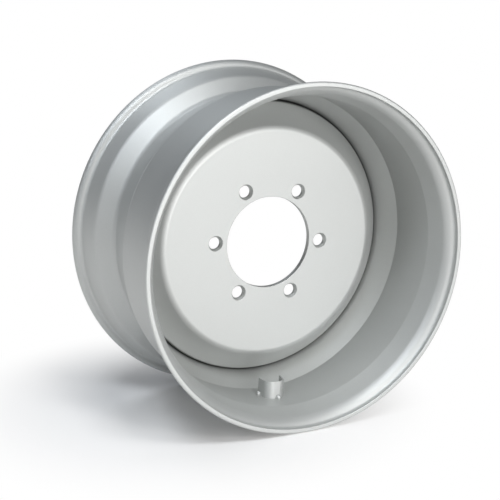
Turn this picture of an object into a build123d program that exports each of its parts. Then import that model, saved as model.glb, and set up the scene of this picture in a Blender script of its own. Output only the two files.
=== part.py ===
from build123d import *

import os
from math import cos, radians, sin, tan

# Steel drop-centre wheel: a rolled rim with a dished six-hole disc welded into its well.
# Millimetres and degrees. The wheel axis is Y and the front faces -Y, with +Z up. The origin is on
# the axis, in the plane of the disc's hub face, which is also the middle plane of the rim.
# "Ahead" is a distance from that plane towards the front, and is negative behind it.

# Rim, measured on the tyre side
seat_diameter = 571.5        # nominal diameter at the heel of the bead seats
rim_width = 298.5            # between the heels of the two flanges
flange_height = 12.7         # flange edge above the heel
flange_lean = 16             # lean of the flange face away from the tyre
flange_reach = 14.75         # flange edge outboard of the heel
curl_radius = 11.5           # outward curl of the flange
heel_radius = 6.5            # between bead seat and flange
seat_angle = 15              # taper of the bead seats
rim_wall = 5                 # strip thickness between the flanges
flange_thickness = 8         # at the heel and at the flange edge, where the strip is thicker
front_seat_length = 46       # heel to the start of the ledge
rear_seat_length = 37        # heel to the top of the rear well wall
seat_end_radius = 14         # bend where a seat runs out
ledge_slope = 0.9            # slight taper of the long front ledge
shoulder_ahead = 5           # where the ledge bends down into the well
shoulder_radius = 8          # that bend, the sharpest line on the barrel
well_diameter = 496          # tyre-side diameter of the well floor
well_front_ahead = -47       # front corner of the well floor
well_rear_ahead = -88        # rear corner of the well floor
well_corner_radius = 15      # bends at both ends of the well floor
edge_bevel = 2               # bevel of a flange edge on the tyre side
edge_break = 0.8             # broken flange edge on the side of the disc

# Flare of the flanges on the side of the disc
flare_lean = 35              # lean of the flare away from the wheel's plane
flare_setback = 2.4          # foot of the flare inboard of the heel
flare_radius = 24            # round bend from the seat into the flare
hook_radius = 6              # hollow bend from the flare into the flange edge

# Disc
plate = 10                   # plate thickness
hub_bore_diameter = 161
bolt_circle = 205
bolt_count = 6
bolt_hole_diameter = 21.5
countersink_diameter = 27    # at the front face
countersink_angle = 60       # included angle of the nut seat
first_bolt_angle = -4.7      # from +X towards +Z, as the wheel stands
flank_width = 41.9           # from the skirt in to where the lines of the flat and of the flank cross
flank_angle = 42             # flank against the wheel axis
dish_radius = 15             # front radius between flat and flank
skirt_bend_radius = 14       # outer radius between flank and skirt
skirt_setback = 15           # rear edge of the skirt ahead of the well's rear corner
disc_fit = 0.1               # radial gap between skirt and well
bore_break = 0.8             # broken edges of the hub bore

# Weld between skirt and well
weld_leg = 6.5               # along the well floor and up the skirt's edge
weld_crown = 0.8             # swell of the bead beyond its straight face

# Valve hole, guard and tacks
valve_hole_diameter = 15.7
valve_angle = -93            # from +X towards +Z, close to the lowest point
valve_hole_ahead = 46
guard_strip = 3              # strip thickness
guard_left = 19.5            # outside of the left leg, left of the valve
guard_right = 16             # right end of the front, where its line meets the right leg's
guard_splay = 8.5            # end of the right leg further right
guard_front_ahead = 67
guard_rear_ahead = 34
guard_bend_radius = 15       # outside of the two bends
guard_height = 30.5          # above the ledge
tack_radius = 4.6            # size of a tack bead
tack_stand_off = 1.8         # bead centre off the strip
tack_rise = 2.2              # bead centre above the ledge
front_tack_across = 3.4      # front tack, right of the valve
left_tack_ahead = 41

# Sizes that follow
seat_radius = seat_diameter / 2
flange_radius = seat_radius + flange_height
half_width = rim_width / 2
well_radius = well_diameter / 2
well_inside = well_radius - rim_wall
skirt_radius = well_inside - disc_fit
skirt_rear_ahead = well_rear_ahead + skirt_setback
seat_taper = tan(radians(seat_angle))
front_seat_end = half_width - front_seat_length
front_seat_end_radius = seat_radius - front_seat_length * seat_taper
rear_seat_end_radius = seat_radius - rear_seat_length * seat_taper


def at(radius, ahead):
    """Point of a section through the axis, drawn in the XY plane."""
    return (radius, -ahead)


def ledge_radius(ahead):
    """Tyre-side radius of the front ledge."""
    return front_seat_end_radius - (front_seat_end - ahead) * tan(radians(ledge_slope))


def ledge_inside(ahead):
    """Radius of the ledge on the side of the disc."""
    return ledge_radius(ahead) - rim_wall / cos(radians(ledge_slope))


def to_valve(shape):
    """Turn a shape modelled at the lowest point of the rim to the valve."""
    return shape.rotate(Axis.Y, -90 - valve_angle)


def strip_section(points, radii, thickness):
    """Section of a bent strip: a filleted line, thickened to the left of its run."""
    line = FilletPolyline(*points, radius=radii)
    return make_face(offset(line, amount=thickness, side=Side.LEFT, min_edge_length=0.01).edges())


def filled(points, radius):
    """Face inside a filleted line and the straight line that joins its ends."""
    return make_face(FilletPolyline(*points, radius=radius) + Line(points[-1], points[0]))


def mitre(before, corner, after, thickness):
    """Corner of the other face of a strip, across from a corner of the face that it is drawn by."""
    corner = Vector(corner)
    run_in = (corner - Vector(before)).normalized().rotate(Axis.Z, 90)
    run_out = (Vector(after) - corner).normalized().rotate(Axis.Z, 90)
    return corner + (run_in + run_out) * (thickness / (1 + run_in.dot(run_out)))


def flange_curl():
    """Curl radius, no larger than the flange face has room for beside the heel."""
    face = flange_height / cos(radians(flange_lean))
    heel = heel_radius * tan(radians(90 - flange_lean - seat_angle) / 2)
    room = (face - heel) / tan(radians(90 - flange_lean) / 2)
    return min(curl_radius, 0.97 * room)


def rim_section():
    """Section of the rim: a line down each side from front to rear, joined by the flange edges."""
    lean = flange_height * tan(radians(flange_lean))
    curl = flange_curl()
    edge = half_width + flange_reach
    tyre_side = [
        at(flange_radius, edge),
        at(flange_radius, half_width + lean),
        at(seat_radius, half_width),
        at(front_seat_end_radius, front_seat_end),
        at(ledge_radius(shoulder_ahead), shoulder_ahead),
        at(well_radius, well_front_ahead),
        at(well_radius, well_rear_ahead),
        at(rear_seat_end_radius, rear_seat_length - half_width),
        at(seat_radius, -half_width),
        at(flange_radius, -half_width - lean),
        at(flange_radius, -edge),
    ]
    tyre_radii = [
        curl,
        heel_radius,
        seat_end_radius,
        shoulder_radius,
        well_corner_radius,
        well_corner_radius,
        seat_end_radius,
        heel_radius,
        curl,
    ]
    flare_foot = seat_radius - flange_thickness
    flare_top = flange_radius - flange_thickness
    foot_ahead = half_width - flare_setback
    top_ahead = foot_ahead + (flare_top - flare_foot) * tan(radians(flare_lean))
    disc_side = [
        at(flare_top, edge),
        at(flare_top, top_ahead),
        at(flare_foot, foot_ahead),
        *[mitre(*tyre_side[i - 1:i + 2], rim_wall) for i in range(3, 8)],
        at(flare_foot, -foot_ahead),
        at(flare_top, -top_ahead),
        at(flare_top, -edge),
    ]
    disc_radii = [
        hook_radius,
        flare_radius,
        seat_end_radius + rim_wall,
        shoulder_radius - rim_wall,
        well_corner_radius + rim_wall,
        well_corner_radius + rim_wall,
        seat_end_radius - rim_wall,
        flare_radius,
        hook_radius,
    ]
    outline = FilletPolyline(*tyre_side, radius=tyre_radii)
    outline += FilletPolyline(*disc_side, radius=disc_radii)
    outline += Line(tyre_side[0], disc_side[0])
    outline += Line(tyre_side[-1], disc_side[-1])
    section = make_face(outline.edges())
    for side, bevel in ((0, edge_break), (-1, edge_bevel)):
        ends = section.vertices().group_by(Axis.Y)
        section = chamfer([end.sort_by(Axis.X)[side] for end in (ends[0], ends[-1])], bevel)
    return section


def make_rim_barrel():
    barrel = revolve(rim_section(), Axis.Y)
    drill = Cylinder(valve_hole_diameter / 2, 4 * rim_wall)
    drill = Pos(0, -valve_hole_ahead, -ledge_radius(valve_hole_ahead)) * drill
    return barrel - to_valve(drill)


def make_centre_disc():
    flank_corner = skirt_radius - flank_width
    flank_drop = flank_width / tan(radians(flank_angle))
    points = [
        at(hub_bore_diameter / 2, plate),
        at(flank_corner, plate),
        at(skirt_radius, plate - flank_drop),
        at(skirt_radius, skirt_rear_ahead),
    ]
    radii = [dish_radius, skirt_bend_radius]
    section = strip_section(points, radii, plate)
    bore_edge = section.vertices().group_by(Axis.X)[0]
    section = chamfer(bore_edge, bore_break)
    disc = revolve(section, Axis.Y)
    front_face = Plane(origin=(0, -plate, 0), x_dir=(1, 0, 0), z_dir=(0, -1, 0))
    holes = PolarLocations(bolt_circle / 2, bolt_count, first_bolt_angle)
    sink = CounterSinkHole(
        radius=bolt_hole_diameter / 2,
        counter_sink_radius=countersink_diameter / 2,
        depth=plate,
        counter_sink_angle=countersink_angle,
    )
    return disc - front_face * holes * sink


def make_disc_weld():
    root = at(well_inside, skirt_rear_ahead)
    toe_on_well = at(well_inside, skirt_rear_ahead - weld_leg)
    toe_on_skirt = at(well_inside - weld_leg, skirt_rear_ahead)
    crown = SagittaArc(toe_on_skirt, toe_on_well, weld_crown)
    bead = make_face(Polyline(toe_on_skirt, root, toe_on_well) + crown)
    return revolve(bead, Axis.Y)


def make_valve_guard(barrel):
    """The U is drawn at the lowest point of the rim, open to the rear, then turned to the valve."""
    top = -ledge_inside(valve_hole_ahead) + guard_height
    foot = -ledge_inside(valve_hole_ahead) - rim_wall / 2
    outside = [
        Vector(-guard_left, -guard_rear_ahead),
        Vector(-guard_left, -guard_front_ahead),
        Vector(guard_right, -guard_front_ahead),
        Vector(guard_right + guard_splay, -guard_rear_ahead),
    ]
    left, right = [mitre(*outside[i - 1:i + 2], guard_strip) for i in (1, 2)]
    past_left = left + (outside[0] - outside[1]) * 1.2
    past_right = right + (outside[3] - outside[2]) * 1.2
    inside = [past_left, left, right, past_right]
    strip = filled(outside, guard_bend_radius) - filled(inside, guard_bend_radius - guard_strip)
    guard = Pos(0, 0, foot) * extrude(strip, top - foot)
    return to_valve(guard) - barrel


def make_guard_tacks(barrel, guard):
    feet = [
        (front_tack_across, guard_front_ahead + tack_stand_off),
        (-guard_left - tack_stand_off, left_tack_ahead),
    ]
    beads = []
    for across, ahead in feet:
        height = -(ledge_inside(ahead) ** 2 - across ** 2) ** 0.5 + tack_rise
        bead = to_valve(Pos(across, -ahead, height) * Sphere(tack_radius)) - barrel - guard
        beads.append(bead.solids().sort_by(SortBy.VOLUME)[-1])
    return Compound(children=beads)


barrel = make_rim_barrel()
guard = make_valve_guard(barrel)

nodes = {
    "rim_barrel": barrel,
    "centre_disc": make_centre_disc(),
    "disc_weld": make_disc_weld(),
    "valve_guard": guard,
    "guard_tacks": make_guard_tacks(barrel, guard),
}

os.makedirs("parts", exist_ok=True)
for name, shape in nodes.items():
    export_step(shape, f"parts/{name}.step")
    print(f"{name}: {len(shape.solids())} solids, {shape.volume:.0f} mm3")
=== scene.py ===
from math import atan2, cos, hypot, pi, radians, sin, sqrt, tan

import bmesh
import bpy
from mathutils import Matrix, Vector, noise


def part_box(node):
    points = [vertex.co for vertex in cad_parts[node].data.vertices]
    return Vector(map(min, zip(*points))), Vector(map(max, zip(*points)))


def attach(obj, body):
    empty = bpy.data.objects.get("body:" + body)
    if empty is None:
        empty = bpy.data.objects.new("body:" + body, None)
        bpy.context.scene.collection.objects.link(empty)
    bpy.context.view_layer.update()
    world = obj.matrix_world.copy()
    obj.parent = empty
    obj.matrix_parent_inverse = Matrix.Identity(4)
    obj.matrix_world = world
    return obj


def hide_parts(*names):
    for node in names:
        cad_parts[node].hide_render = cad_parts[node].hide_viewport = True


# Silver steel drop-centre wheel: a rolled rim with a dished six-hole disc welded into its well.
# Metres, in the wheel's own frame: the axis is Y, the front faces -Y and +Z is up. "Ahead" is a
# distance from the hub face towards the front.
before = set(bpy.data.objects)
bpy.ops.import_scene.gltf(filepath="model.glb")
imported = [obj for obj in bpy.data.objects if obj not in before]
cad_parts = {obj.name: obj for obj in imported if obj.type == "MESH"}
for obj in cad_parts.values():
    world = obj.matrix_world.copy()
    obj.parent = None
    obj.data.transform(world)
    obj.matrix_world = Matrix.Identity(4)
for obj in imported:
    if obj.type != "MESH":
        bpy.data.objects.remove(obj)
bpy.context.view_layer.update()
MM = 0.001

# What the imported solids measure
barrel_low, barrel_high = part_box("rim_barrel")
disc_low, disc_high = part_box("centre_disc")
weld_low, weld_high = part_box("disc_weld")
flange_radius = barrel_high.x
rim_reach = barrel_high.y
plate = -disc_low.y
skirt_radius = disc_high.x
skirt_rear_ahead = -disc_high.y
weld_rear_ahead = -weld_high.y
floor_level = barrel_low.z

# Rolled section of the rim
flange_height = 12.7 * MM
flange_reach = 14.75 * MM
flange_lean = radians(16)
curl_bend = 10.6 * MM
heel_bend = 6.5 * MM
rim_wall = 5 * MM
flange_thickness = 8 * MM
seat_taper = tan(radians(15))
front_seat_length = 46 * MM
rear_seat_length = 37 * MM
seat_end_bend = 14 * MM
ledge_taper = tan(radians(0.9))
shoulder_ahead = 5 * MM
shoulder_bend = 8 * MM
well_radius = 248 * MM
well_front_ahead = -47 * MM
well_rear_ahead = -88 * MM
well_bend = 15 * MM
edge_round = 3 * MM
edge_break = 1 * MM
flare_slope = tan(radians(35))
flare_setback = 2.4 * MM
flare_bend = 24 * MM
hook_bend = 6 * MM
seat_radius = flange_radius - flange_height
half_width = rim_reach - flange_reach
front_seat_end = half_width - front_seat_length
front_seat_end_radius = seat_radius - front_seat_length * seat_taper
rear_seat_end_radius = seat_radius - rear_seat_length * seat_taper

# Pressed disc
hub_bore_radius = 80.5 * MM
flank_width = 41.9 * MM
flank_slope = tan(radians(42))
dish_bend = 15 * MM
skirt_bend = 14 * MM
plate_edge_round = 0.8 * MM
bolt_circle_radius = 102.5 * MM
bolt_count = 6
bolt_radius = 10.75 * MM
countersink_radius = 13.5 * MM
countersink_half_angle = radians(30)
first_bolt_angle = radians(-4.7)

# Valve hole, guard and tacks, drawn at the lowest point of the rim and then turned to the valve
valve_turn = radians(3)
valve_hole_radius = 7.85 * MM
valve_hole_ahead = 46 * MM
guard_strip = 3 * MM
guard_left = 19.5 * MM
guard_right = 16 * MM
guard_splay = 8.5 * MM
guard_front_ahead = 67 * MM
guard_rear_ahead = 34 * MM
guard_bend = 15 * MM
guard_height = 30.5 * MM
guard_levels = 6
guard_edge_round = 0.5 * MM
tack_radius = 4.6 * MM
tack_stand_off = 1.8 * MM
tack_rise = 2.2 * MM
front_tack_across = 3.4 * MM
left_tack_ahead = 41 * MM

# Paint
SILVER = (0.52, 0.53, 0.52)
# Painted shade: near-black colour put in the gap between the disc's skirt and the well
CREVICE_PAINTED_SHADE = (0.1, 0.105, 0.1, 1)
PAINT_METALLIC = 0.7
PAINT_ROUGHNESS = 0.5
PAINT_PEEL = 0.12
WELD_PEEL = 0.25

# Room and floor: around the shadow, paper gives way to plain white
ROOM = (0.8, 0.9, 1, 1)
ROOM_LIGHT = 0.02
PAPER = (0.9, 0.885, 0.87, 1)
WHITE = (1, 1, 1, 1)
FLOOR_REACH = 40
SHADOW_MIDDLE = (-0.13, 0.06)
PAPER_END = 0.13
WHITE_START = 0.46

# Fineness of the meshes
ROUND_STEPS = 288
HOLE_STEPS = 72
ARC_STEP = radians(10)
SHARP_ANGLE = radians(40)
MERGE_WITHIN = 0.002 * MM
WHEEL_AXIS = Vector((0, 1, 0))


def ledge_outside(ahead):
    """Radius of the long front ledge on the tyre side."""
    return front_seat_end_radius - (front_seat_end - ahead) * ledge_taper


def ledge_inside(ahead):
    """Radius of the ledge on the side of the disc."""
    return ledge_outside(ahead) - rim_wall


# Mesh tools

def mitre(before, corner, after, wall):
    """The other side of a strip's corner, radius and how far ahead, to the right of the strip's run."""
    middle = Vector(corner[:2])
    run_in = -(middle - Vector(before[:2])).normalized().orthogonal()
    run_out = -(Vector(after[:2]) - middle).normalized().orthogonal()
    return middle + (run_in + run_out) * wall / (1 + run_in.dot(run_out))


def section_line(bm, corners, closed=False):
    """A line in the XY plane. A corner is its radius, how far ahead it is, and its bend."""
    points = [Vector((radius, -ahead, 0)) for radius, ahead, bend in corners]
    bends = [bend for radius, ahead, bend in corners]
    verts = [bm.verts.new(point) for point in points]
    count = len(points)
    for index in range(count if closed else count - 1):
        bm.edges.new((verts[index], verts[(index + 1) % count]))
    for index, bend in enumerate(bends):
        if bend:
            before = points[index] - points[index - 1]
            after = points[(index + 1) % count] - points[index]
            turn = before.angle(after)
            bmesh.ops.bevel(
                bm,
                geom=[verts[index]],
                offset=bend * tan(turn / 2),
                offset_type="ABSOLUTE",
                affect="VERTICES",
                segments=3 + round(turn / ARC_STEP),
                profile=0.5,
                material=-1,
            )


def spin_round(bm, steps=ROUND_STEPS):
    """Spin everything once round the wheel axis."""
    bmesh.ops.spin(
        bm,
        geom=bm.verts[:] + bm.edges[:],
        cent=(0, 0, 0),
        axis=WHEEL_AXIS,
        angle=2 * pi,
        steps=steps,
        use_merge=True,
    )
    bmesh.ops.remove_doubles(bm, verts=bm.verts[:], dist=MERGE_WITHIN)


def face_outwards(bm, outwards):
    """Make all faces of a sheet agree, and point the way that outwards gives for a face's middle."""
    bmesh.ops.recalc_face_normals(bm, faces=bm.faces[:])
    agree = 0
    for face in bm.faces:
        agree += face.normal.dot(outwards(face.calc_center_median())) * face.calc_area()
    if agree < 0:
        bmesh.ops.reverse_faces(bm, faces=bm.faces[:])


def close_round(bm):
    """Faces of a closed body point out of it."""
    bmesh.ops.recalc_face_normals(bm, faces=bm.faces[:])
    if bm.calc_volume(signed=True) < 0:
        bmesh.ops.reverse_faces(bm, faces=bm.faces[:])


def round_edges(bm, amount):
    """Round the sharp edges of a closed body."""
    least_angle = radians(50)
    sharp = [edge for edge in bm.edges if edge.is_manifold and edge.calc_face_angle() > least_angle]
    bmesh.ops.bevel(
        bm,
        geom=sharp,
        offset=amount,
        offset_type="OFFSET",
        affect="EDGES",
        segments=3,
        profile=0.5,
        material=-1,
    )


def turn_to_valve(bm):
    """Turn what is drawn at the lowest point of the rim to the valve's place."""
    turn = Matrix.Rotation(valve_turn, 3, WHEEL_AXIS)
    bmesh.ops.rotate(bm, verts=bm.verts[:], cent=(0, 0, 0), matrix=turn)


def new_object(name, bm):
    mesh = bpy.data.meshes.new(name)
    bm.to_mesh(mesh)
    bm.free()
    piece = bpy.data.objects.new(name, mesh)
    bpy.context.scene.collection.objects.link(piece)
    return piece


def cut_away(piece, cutter):
    """Take the cutter's shape out of a piece, for good."""
    cut = piece.modifiers.new("cut", "BOOLEAN")
    cut.operation = "DIFFERENCE"
    cut.solver = "EXACT"
    cut.object = cutter
    graph = bpy.context.evaluated_depsgraph_get()
    mesh = bpy.data.meshes.new_from_object(piece.evaluated_get(graph))
    piece.modifiers.clear()
    mesh.name = piece.name
    piece.data = mesh
    bpy.data.objects.remove(cutter)


def smooth(piece, sharp_angle=SHARP_ANGLE):
    """Shade a piece smooth between its sharp edges."""
    piece.data.shade_smooth()
    piece.data.set_sharp_from_angle(angle=sharp_angle)
    even = piece.modifiers.new("even normals", "WEIGHTED_NORMAL")
    even.keep_sharp = True


def hand_over(piece, node, finish):
    """A finished piece stands for its CAD node."""
    piece.data.materials.clear()
    piece.data.materials.append(finish)
    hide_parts(node)
    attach(piece, "root")


# Pieces

def rim_corners():
    """Closed section, down the tyre side from front to rear and back along the side of the disc."""
    lean = flange_height * tan(flange_lean)
    tyre_side = [
        (flange_radius, rim_reach, edge_round),
        (flange_radius, half_width + lean, curl_bend),
        (seat_radius, half_width, heel_bend),
        (front_seat_end_radius, front_seat_end, seat_end_bend),
        (ledge_outside(shoulder_ahead), shoulder_ahead, shoulder_bend),
        (well_radius, well_front_ahead, well_bend),
        (well_radius, well_rear_ahead, well_bend),
        (rear_seat_end_radius, rear_seat_length - half_width, seat_end_bend),
        (seat_radius, -half_width, heel_bend),
        (flange_radius, -half_width - lean, curl_bend),
        (flange_radius, -rim_reach, edge_round),
    ]
    inner_bends = [
        seat_end_bend + rim_wall,
        shoulder_bend - rim_wall,
        well_bend + rim_wall,
        well_bend + rim_wall,
        seat_end_bend - rim_wall,
    ]
    inner = [(*mitre(*tyre_side[i - 1:i + 2], rim_wall), bend) for i, bend in enumerate(inner_bends, 3)]
    flare_foot = seat_radius - flange_thickness
    flare_top = flange_radius - flange_thickness
    foot_ahead = half_width - flare_setback
    top_ahead = foot_ahead + (flare_top - flare_foot) * flare_slope
    disc_side = [
        (flare_top, rim_reach, edge_break),
        (flare_top, top_ahead, hook_bend),
        (flare_foot, foot_ahead, flare_bend),
        *inner,
        (flare_foot, -foot_ahead, flare_bend),
        (flare_top, -top_ahead, hook_bend),
        (flare_top, -rim_reach, edge_break),
    ]
    # Plain points keep the cut of the valve hole within a short band of the ledge.
    bands = [valve_hole_ahead + 2 * valve_hole_radius, valve_hole_ahead - 2 * valve_hole_radius]
    tyre_side[4:4] = [(ledge_outside(ahead), ahead, 0) for ahead in bands]
    disc_side[4:4] = [(ledge_inside(ahead), ahead, 0) for ahead in bands]
    return tyre_side + disc_side[::-1]


def valve_drill():
    """A round bar through the ledge, where the valve goes."""
    bm = bmesh.new()
    bmesh.ops.create_cone(
        bm,
        cap_ends=True,
        segments=48,
        radius1=valve_hole_radius,
        radius2=valve_hole_radius,
        depth=6 * rim_wall,
    )
    middle = Vector((0, -valve_hole_ahead, -ledge_inside(valve_hole_ahead)))
    bmesh.ops.translate(bm, verts=bm.verts[:], vec=middle)
    turn_to_valve(bm)
    return new_object("valve_drill", bm)


def make_rim_barrel():
    bm = bmesh.new()
    section_line(bm, rim_corners(), closed=True)
    spin_round(bm)
    close_round(bm)
    barrel = new_object("barrel", bm)
    cut_away(barrel, valve_drill())
    smooth(barrel)
    return barrel


def bolt_cutter():
    """Six drills with countersinks, each a profile spun about its own axis."""
    seat_depth = (countersink_radius - bolt_radius) / tan(countersink_half_angle)
    clear = 6 * MM
    lip = 1.2 * MM
    lip_above = 0.15 * MM
    lip_below = 0.05 * MM
    seat_bend = 0.8 * MM
    rear_break = 0.6 * MM
    profile = [
        (0, plate + clear, 0),
        (countersink_radius + lip, plate + clear, 0),
        (countersink_radius + lip, plate + lip_above, 0),
        (countersink_radius, plate - lip_below, lip),
        (bolt_radius, plate - seat_depth, seat_bend),
        (bolt_radius, rear_break, 0),
        (bolt_radius + 2 * rear_break, -rear_break, 0),
        (bolt_radius + 2 * rear_break, -clear, 0),
        (0, -clear, 0),
    ]
    bm = bmesh.new()
    for index in range(bolt_count):
        drill = bmesh.new()
        section_line(drill, profile)
        spin_round(drill, HOLE_STEPS)
        bmesh.ops.recalc_face_normals(drill, faces=drill.faces[:])
        angle = first_bolt_angle + index * 2 * pi / bolt_count
        place = Vector((cos(angle), 0, sin(angle))) * bolt_circle_radius
        bmesh.ops.translate(drill, verts=drill.verts[:], vec=place)
        mesh = bpy.data.meshes.new("drill")
        drill.to_mesh(mesh)
        drill.free()
        bm.from_mesh(mesh)
        bpy.data.meshes.remove(mesh)
    return new_object("bolt_drills", bm)


def make_centre_disc():
    front = [
        (hub_bore_radius, plate, plate_edge_round),
        (skirt_radius - flank_width, plate, dish_bend),
        (skirt_radius, plate - flank_width / flank_slope, skirt_bend),
        (skirt_radius, skirt_rear_ahead, plate_edge_round),
    ]
    back = [
        (hub_bore_radius, 0, plate_edge_round),
        (*mitre(*front[0:3], plate), dish_bend - plate),
        (*mitre(*front[1:4], plate), skirt_bend - plate),
        (skirt_radius - plate, skirt_rear_ahead, plate_edge_round),
    ]
    bm = bmesh.new()
    section_line(bm, front + back[::-1], closed=True)
    spin_round(bm)
    close_round(bm)
    disc = new_object("disc", bm)
    cut_away(disc, bolt_cutter())
    smooth(disc)
    return disc


def make_disc_weld():
    """A hollow fillet bead of overlapping ripples behind the skirt."""
    leg = skirt_rear_ahead - weld_rear_ahead
    well_inside = well_radius - rim_wall
    hollow = 0.42 * leg
    hollow_bend = 0.9 * leg
    slump = 1.1 * MM
    still_edge = 0.1 * MM
    ripple_count = 300
    ripple_steps = 6
    ripple_rise = 0.55 * MM
    ripple_sink = 0.7
    ripple_bow = 1.6
    ripple_drift = 1.5
    swell = 0.5
    wander_scale = 40
    bm = bmesh.new()
    corners = [
        (well_inside - leg, skirt_rear_ahead, 0),
        (well_inside - hollow + slump, skirt_rear_ahead - hollow - slump, hollow_bend),
        (well_inside, weld_rear_ahead, 0),
    ]
    section_line(bm, corners)
    root = bm.verts.new((well_inside, -skirt_rear_ahead, 0))
    ends = [vert for vert in bm.verts if len(vert.link_edges) == 1]
    for end in ends:
        bm.edges.new((root, end))
    spin_round(bm, ripple_count * ripple_steps)
    bmesh.ops.recalc_face_normals(bm, faces=bm.faces[:])
    bm.normal_update()
    for vert in bm.verts:
        inwards = well_inside - hypot(vert.co.x, vert.co.z)
        backwards = vert.co.y + skirt_rear_ahead
        if min(inwards, backwards) < still_edge:
            continue
        across = (inwards - backwards) / leg
        around = atan2(vert.co.z, vert.co.x)
        wander = noise.noise(Vector((cos(around), sin(around), 0)) * wander_scale)
        phase = ripple_count * around + ripple_bow * across ** 2 + ripple_drift * wander
        vert.co += vert.normal * ripple_rise * (abs(sin(phase / 2)) - ripple_sink + swell * wander)
    weld = new_object("disc_bead", bm)
    smooth(weld, radians(60))
    return weld


def is_level(vert, height):
    """Whether a vertex of the guard is at a height, to well within one of its levels."""
    return abs(vert.co.z - height) < 0.5 * MM


def make_valve_guard():
    """A strip on edge, bent to a U that is open to the rear."""
    bm = bmesh.new()
    foot = -ledge_inside(valve_hole_ahead)
    rise = guard_height / guard_levels
    corners = [
        (-guard_left, guard_rear_ahead, 0),
        (-guard_left, guard_front_ahead, guard_bend),
        (guard_right, guard_front_ahead, guard_bend),
        (guard_right + guard_splay, guard_rear_ahead, 0),
    ]
    section_line(bm, corners)
    bmesh.ops.translate(bm, verts=bm.verts[:], vec=(0, 0, foot))
    for level in range(guard_levels):
        height = foot + level * rise
        edges = [edge for edge in bm.edges if all(is_level(vert, height) for vert in edge.verts)]
        risen = bmesh.ops.extrude_edge_only(bm, edges=edges)["geom"]
        verts = [part for part in risen if isinstance(part, bmesh.types.BMVert)]
        bmesh.ops.translate(bm, verts=verts, vec=(0, 0, rise))
    middle = Vector((0, -guard_rear_ahead, 0))
    face_outwards(bm, lambda place: (place - middle) * Vector((1, 1, 0)))
    bmesh.ops.solidify(bm, geom=bm.faces[:], thickness=guard_strip)
    for vert in bm.verts:
        if is_level(vert, foot):
            vert.co.z = -sqrt(ledge_inside(-vert.co.y) ** 2 - vert.co.x ** 2)
    round_edges(bm, guard_edge_round)
    turn_to_valve(bm)
    guard = new_object("guard", bm)
    smooth(guard)
    return guard


def make_guard_tacks():
    """Small lumpy tack welds at the guard's foot."""
    lump_size = 3 * MM
    lump_share = 0.1
    lump_shift = 400
    feet = [
        (front_tack_across, guard_front_ahead + tack_stand_off),
        (-guard_left - tack_stand_off, left_tack_ahead),
    ]
    bm = bmesh.new()
    for across, ahead in feet:
        height = tack_rise - sqrt(ledge_inside(ahead) ** 2 - across ** 2)
        bead = bmesh.ops.create_icosphere(bm, subdivisions=4, radius=tack_radius)["verts"]
        for vert in bead:
            lump = noise.noise(vert.co / lump_size + Vector((across, ahead, 0)) * lump_shift)
            vert.co *= 1 + lump_share * lump
        bmesh.ops.translate(bm, verts=bead, vec=(across, -ahead, height))
    turn_to_valve(bm)
    tacks = new_object("tacks", bm)
    smooth(tacks, radians(80))
    return tacks


# Finishes

class Value:
    """A socket of a material's nodes. Arithmetic on it adds Math nodes."""

    def __init__(self, nodes, socket):
        self.nodes = nodes
        self.socket = socket

    def math(self, operation, first, second):
        return self.nodes.add("ShaderNodeMath", {"operation": operation}, {0: first, 1: second})

    def __add__(self, other):
        return self.math("ADD", self, other)

    def __radd__(self, other):
        return self.math("ADD", other, self)

    def __sub__(self, other):
        return self.math("SUBTRACT", self, other)

    def __rsub__(self, other):
        return self.math("SUBTRACT", other, self)

    def __mul__(self, other):
        return self.math("MULTIPLY", self, other)

    def __rmul__(self, other):
        return self.math("MULTIPLY", other, self)

    def __pow__(self, other):
        return self.math("POWER", self, other)

    def __rpow__(self, other):
        return self.math("POWER", other, self)


class Nodes:
    """The node tree of a material or world."""

    def __init__(self, owner):
        owner.use_nodes = True
        self.tree = owner.node_tree
        self.tree.nodes.clear()

    def add(self, kind, settings=None, inputs=None, out=0):
        """Add a node, its settings first and its sockets next, and give one of its outputs."""
        node = self.tree.nodes.new(kind)
        for name, setting in (settings or {}).items():
            setattr(node, name, setting)
        for key, given in (inputs or {}).items():
            if isinstance(given, Value):
                self.tree.links.new(given.socket, node.inputs[key])
            else:
                node.inputs[key].default_value = given
        return Value(self, node.outputs[out]) if node.outputs else None

    def mix_colours(self, factor, first, second):
        settings = {"data_type": "RGBA", "clamp_factor": True}
        return self.add("ShaderNodeMix", settings, {0: factor, 6: first, 7: second}, out=2)

    def split(self, place):
        """The three coordinates of a place."""
        return [self.add("ShaderNodeSeparateXYZ", {}, {0: place}, out=axis) for axis in "XYZ"]

    def ramp(self, value, start, end):
        """Smooth rise from nought at start to one at end."""
        span = {"Value": value, "From Min": start, "From Max": end}
        return self.add("ShaderNodeMapRange", {"interpolation_type": "SMOOTHSTEP"}, span)


def painted_crevice_shade(nodes, place):
    """Painted shade: one in the narrow gap between the disc's skirt and the well, where a dark colour stands
    in for the gap's shade.
    """
    fade = 4 * MM
    gap = 0.5 * MM
    mouth_start = 20 * MM
    mouth_end = 30 * MM
    skirt_rear = -skirt_rear_ahead
    x, y, z = nodes.split(place)
    radius = (x * x + z * z) ** 0.5
    within = nodes.ramp(radius, skirt_radius - fade, skirt_radius)
    without = 1 - nodes.ramp(radius, skirt_radius + gap, skirt_radius + fade)
    behind = nodes.ramp(y, mouth_start, mouth_end) - nodes.ramp(y, skirt_rear - fade, skirt_rear)
    return within * without * behind


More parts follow.
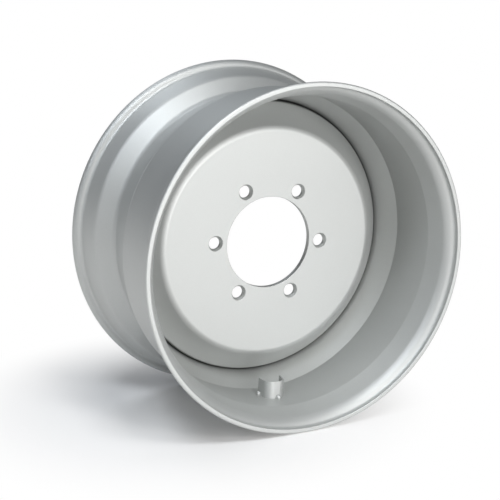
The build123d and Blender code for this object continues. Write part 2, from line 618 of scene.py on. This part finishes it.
def silver_paint(name, peel):
    """Satin silver paint: soft spray clouds, metal flake, a fine orange peel, and painted shade in the gap
    behind the disc's skirt.
    """
    darkest = 0.94
    lightest = 1.05
    cloud_share = 0.6
    flake_share = 0.4
    roughness_spread = 0.08
    peel_depth = 0.1 * MM
    material = bpy.data.materials.new(name)
    nodes = Nodes(material)
    place = nodes.add("ShaderNodeTexCoord", out="Object")
    cloud_look = {"Vector": place, "Scale": 9, "Detail": 4, "Roughness": 0.55}
    clouds = nodes.add("ShaderNodeTexNoise", {}, cloud_look, out="Fac")
    flake_look = {"Vector": place, "Scale": 1400}
    flake = nodes.add("ShaderNodeTexVoronoi", {"feature": "F1"}, flake_look, out="Color")
    flake_shade = nodes.add("ShaderNodeSeparateColor", {}, {"Color": flake}, out="Red")
    peel_look = {"Vector": place, "Scale": 420, "Detail": 2, "Roughness": 0.5}
    orange_peel = nodes.add("ShaderNodeTexNoise", {}, peel_look, out="Fac")
    dark = [darkest * channel for channel in SILVER] + [1]
    light = [lightest * channel for channel in SILVER] + [1]
    coat = nodes.mix_colours(clouds * cloud_share + flake_shade * flake_share, dark, light)
    # Painted shade: the gap between the skirt and the well is darkened in the colour
    colour = nodes.mix_colours(painted_crevice_shade(nodes, place), coat, CREVICE_PAINTED_SHADE)
    bump = nodes.add("ShaderNodeBump", {}, {"Strength": peel, "Distance": peel_depth, "Height": orange_peel})
    shader = nodes.add(
        "ShaderNodeBsdfPrincipled",
        {},
        {
            "Base Color": colour,
            "Metallic": PAINT_METALLIC,
            "Roughness": clouds * roughness_spread + PAINT_ROUGHNESS,
            "Normal": bump,
        },
    )
    nodes.add("ShaderNodeOutputMaterial", {}, {"Surface": shader})
    return material


# Studio

def seen_directly(nodes):
    """One for camera, mirror and glass rays, nought for light that falls on things."""
    kinds = ("Is Camera Ray", "Is Glossy Ray", "Is Transmission Ray")
    camera, mirror, glass = [nodes.add("ShaderNodeLightPath", out=kind) for kind in kinds]
    return 1 - (1 - camera) * (1 - mirror) * (1 - glass)


def make_world():
    """A dim room. The camera looks down and sees only the floor."""
    world = bpy.data.worlds.new("studio")
    bpy.context.scene.world = world
    nodes = Nodes(world)
    room = nodes.add("ShaderNodeBackground", {}, {"Color": ROOM, "Strength": ROOM_LIGHT})
    nodes.add("ShaderNodeOutputWorld", {}, {"Surface": room})


def make_floor():
    """White paper. Away from the wheel it shows as pure white, and near it keeps the shadow."""
    bm = bmesh.new()
    bmesh.ops.create_grid(bm, x_segments=1, y_segments=1, size=FLOOR_REACH)
    bmesh.ops.translate(bm, verts=bm.verts[:], vec=(0, 0, floor_level))
    floor = new_object("floor", bm)
    material = bpy.data.materials.new("white paper")
    nodes = Nodes(material)
    x, y, z = nodes.split(nodes.add("ShaderNodeTexCoord", out="Object"))
    across = x - SHADOW_MIDDLE[0]
    along = y - SHADOW_MIDDLE[1]
    far = nodes.ramp((across * across + along * along) ** 0.5, PAPER_END, WHITE_START)
    paper = nodes.add("ShaderNodeBsdfDiffuse", {}, {"Color": PAPER})
    white = nodes.add("ShaderNodeEmission", {}, {"Color": WHITE, "Strength": 1})
    mixed = nodes.add("ShaderNodeMixShader", {}, {0: far * seen_directly(nodes), 1: paper, 2: white})
    nodes.add("ShaderNodeOutputMaterial", {}, {"Surface": mixed})
    floor.data.materials.append(material)


def soft_lamp(name, place, size, power, colour):
    """A square lamp that faces the wheel."""
    lamp = bpy.data.lights.new(name, "AREA")
    lamp.shape = "SQUARE"
    lamp.size = size
    lamp.energy = power
    lamp.color = colour
    holder = bpy.data.objects.new(name, lamp)
    holder.location = place
    holder.rotation_euler = (-holder.location).to_track_quat("-Z", "Y").to_euler()
    bpy.context.scene.collection.objects.link(holder)


def make_lamps():
    """Plain light from the front, and cooler light from the left, from above and from behind."""
    plain = (1, 1, 1)
    cool = (0.92, 0.98, 1.05)
    soft_lamp("front right", (2.0, -5.6, 0.9), 1.0, 97, plain)
    soft_lamp("front low", (0.3, -6.0, 0.0), 0.8, 91, plain)
    soft_lamp("front left", (-1.6, -5.6, 0.8), 1.0, 34, plain)
    soft_lamp("front high", (0.2, -4.4, 2.8), 1.0, 58, plain)
    soft_lamp("overhead front", (-0.2, -2.0, 3.2), 1.0, 39, plain)
    soft_lamp("overhead left", (-1.5, -1.2, 3.0), 1.0, 43, cool)
    soft_lamp("left", (-2.8, -0.6, 2.2), 1.0, 16, cool)
    soft_lamp("back", (-0.5, 1.8, 3.0), 1.4, 20, cool)


def make_camera():
    """A long lens in front of the wheel, a little to the left and above, level with the horizon."""
    place = Vector((-1.1935, -2.2696, 0.6329))
    look = Vector((0.44184, 0.86282, -0.24548))
    lens = bpy.data.cameras.new("camera")
    lens.sensor_width = 36
    lens.lens = 108.86
    camera = bpy.data.objects.new("camera", lens)
    camera.location = place
    camera.rotation_euler = look.to_track_quat("-Z", "Y").to_euler()
    bpy.context.scene.collection.objects.link(camera)
    bpy.context.scene.camera = camera


paint = silver_paint("silver paint", PAINT_PEEL)
weld_paint = silver_paint("painted weld", WELD_PEEL)
hand_over(make_rim_barrel(), "rim_barrel", paint)
hand_over(make_centre_disc(), "centre_disc", paint)
hand_over(make_disc_weld(), "disc_weld", weld_paint)
hand_over(make_valve_guard(), "valve_guard", paint)
hand_over(make_guard_tacks(), "guard_tacks", weld_paint)

make_world()
make_floor()
make_lamps()
make_camera()
bpy.context.scene.view_settings.view_transform = "Standard"
